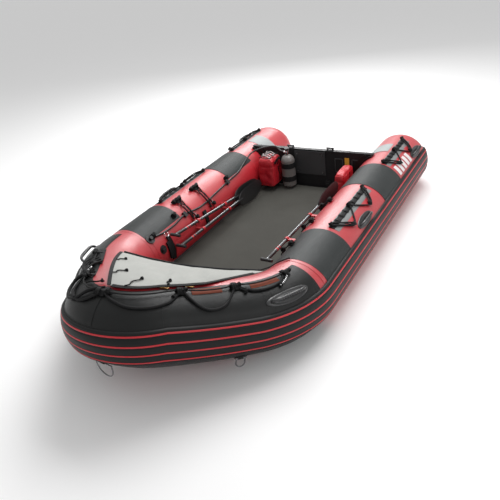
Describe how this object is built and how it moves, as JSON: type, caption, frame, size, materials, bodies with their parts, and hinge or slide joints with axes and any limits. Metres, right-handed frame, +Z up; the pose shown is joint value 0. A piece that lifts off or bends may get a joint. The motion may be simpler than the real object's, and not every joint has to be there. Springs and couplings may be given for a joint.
{
  "type": "inflatable rescue dinghy",
  "caption": "Inflatable rescue dinghy with side tubes, a raised bow tube, a transom and stowed cylinder, bags and paddles.",
  "frame": {"origin": "middle of the boat's box in plan, on the ground it rests on", "axes": "+X forward to the bow, +Y to port, +Z up"},
  "size_m": [3.9, 2.016, 0.7689],
  "materials": {
    "hull_red": "satin",
    "grey_fabric": "matt",
    "black_rubber_fabric": "satin",
    "charcoal_patch": "matt",
    "light_grey_patch": "matt",
    "strake_rubber": "satin",
    "line_red": "satin",
    "bottom_skin": "matt",
    "floor_grey": "matt",
    "transom_black": "matt",
    "black_plastic": "satin",
    "pad_grey": "matt",
    "amber": "satin",
    "black_rope": "matt",
    "rust_tag": "matt",
    "cover_grey": "matt",
    "brass": "satin",
    "steel": "satin",
    "bottle_grey": "satin",
    "bright_metal": "polished",
    "hose_rubber": "satin",
    "bag_red": "satin",
    "paddle_metal": "satin",
    "collar_red": "satin",
    "handle_rubber": "satin"
  },
  "bodies": {
    "hull": {"tube_port": "hull_red", "tube_starboard": "hull_red", "bow_tube": "hull_red", "bulkheads": "grey_fabric", "bow_shield": "black_rubber_fabric", "patches_port": "charcoal_patch", "patches_starboard": "charcoal_patch", "stern_bands": "light_grey_patch", "strake_port": "strake_rubber", "strake_starboard": "strake_rubber", "strake_bow": "strake_rubber", "strake_lines": "line_red", "hull_skin": "bottom_skin", "keel_tube": "grey_fabric", "floor_deck": "floor_grey", "transom_board": "transom_black", "transom_holders": "black_rubber_fabric", "transom_cleats": "black_plastic", "motor_pads": "pad_grey", "amber_tag": "amber", "drain_flange": "black_plastic", "lacing_strips": "black_rubber_fabric", "lacing_ropes": "black_rope", "handle_port_mid": "handle_rubber", "handle_port_stern": "handle_rubber", "handle_port_bow": "handle_rubber", "handle_starboard_mid": "handle_rubber", "handle_starboard_stern": "handle_rubber", "handle_starboard_bow": "handle_rubber", "grab_line": "black_rope", "line_anchors": "black_rubber_fabric", "bow_tags": "rust_tag", "dodger": "cover_grey", "dodger_hem": "black_rubber_fabric", "dodger_hooks": "brass", "dodger_ties": "black_rope", "ring_patches": "black_rubber_fabric", "air_cylinder": "bottle_grey", "cylinder_valve": "bright_metal", "cylinder_straps": "black_rope", "hose": "hose_rubber", "hose_fittings": "black_plastic", "bag_starboard": "bag_red", "bag_port": "bag_red", "bag_lashings": "black_rope", "paddle_collars": "collar_red", "valve_bodies": "black_plastic"},
    "stem_ring": {"stem_ring": "steel"},
    "port_ring": {"port_ring": "steel"},
    "knob": {"cylinder_knob": "black_plastic"},
    "plug": {"drain_plug": "black_plastic"},
    "cap_port": {"valve_cap_port": "black_plastic"},
    "cap_starboard": {"valve_cap_starboard": "black_plastic"},
    "cap_bow": {"valve_cap_bow": "black_plastic"},
    "upper_paddle": {"paddle_upper": "paddle_metal"},
    "lower_paddle": {"paddle_lower": "paddle_metal"},
    "port_paddle": {"paddle_port": "paddle_metal"}
  },
  "joints": [
    {"name": "stem_ring_swing", "type": "hinge", "parent": "hull", "child": "stem_ring", "pos_m": [1.8365, -0.04878, 0.29168], "axis": [-0.1471, -0.9868, -0.0671], "range_deg": [-50, 110]},
    {"name": "port_ring_swing", "type": "hinge", "parent": "hull", "child": "port_ring", "pos_m": [1.33766, 0.61439, 0.12325], "axis": [0.7544, -0.6241, 0.2035], "range_deg": [-45, 105]},
    {"name": "knob_turn", "type": "hinge", "parent": "hull", "child": "knob", "pos_m": [-1.12098, -0.204, 0.5205], "axis": [0, 0, 1], "range_deg": [0, 360]},
    {"name": "plug_pull", "type": "slide", "parent": "hull", "child": "plug", "axis": [1, 0, 0], "range_m": [0, 0.06]},
    {"name": "cap_port_turn", "type": "hinge", "parent": "hull", "child": "cap_port", "pos_m": [0.60202, 0.48357, 0.31737], "axis": [0, -0.9659, 0.2588], "range_deg": [0, 180]},
    {"name": "cap_starboard_turn", "type": "hinge", "parent": "hull", "child": "cap_starboard", "pos_m": [0.60202, -0.48357, 0.31737], "axis": [0, 0.9659, 0.2588], "range_deg": [0, 180]},
    {"name": "cap_bow_turn", "type": "hinge", "parent": "hull", "child": "cap_bow", "pos_m": [1.42932, -0.03178, 0.61251], "axis": [-0.8388, 0.2888, 0.4615], "range_deg": [0, 180]},
    {"name": "upper_paddle_slide", "type": "slide", "parent": "hull", "child": "upper_paddle", "axis": [0.9938, 0, 0.1115], "range_m": [-0.03, 0.15]},
    {"name": "lower_paddle_slide", "type": "slide", "parent": "hull", "child": "lower_paddle", "axis": [0.999, 0, 0.0454], "range_m": [-0.03, 0.15]},
    {"name": "port_paddle_slide", "type": "slide", "parent": "hull", "child": "port_paddle", "axis": [0.9996, 0, 0.0279], "range_m": [-0.03, 0.12]}
  ]
}
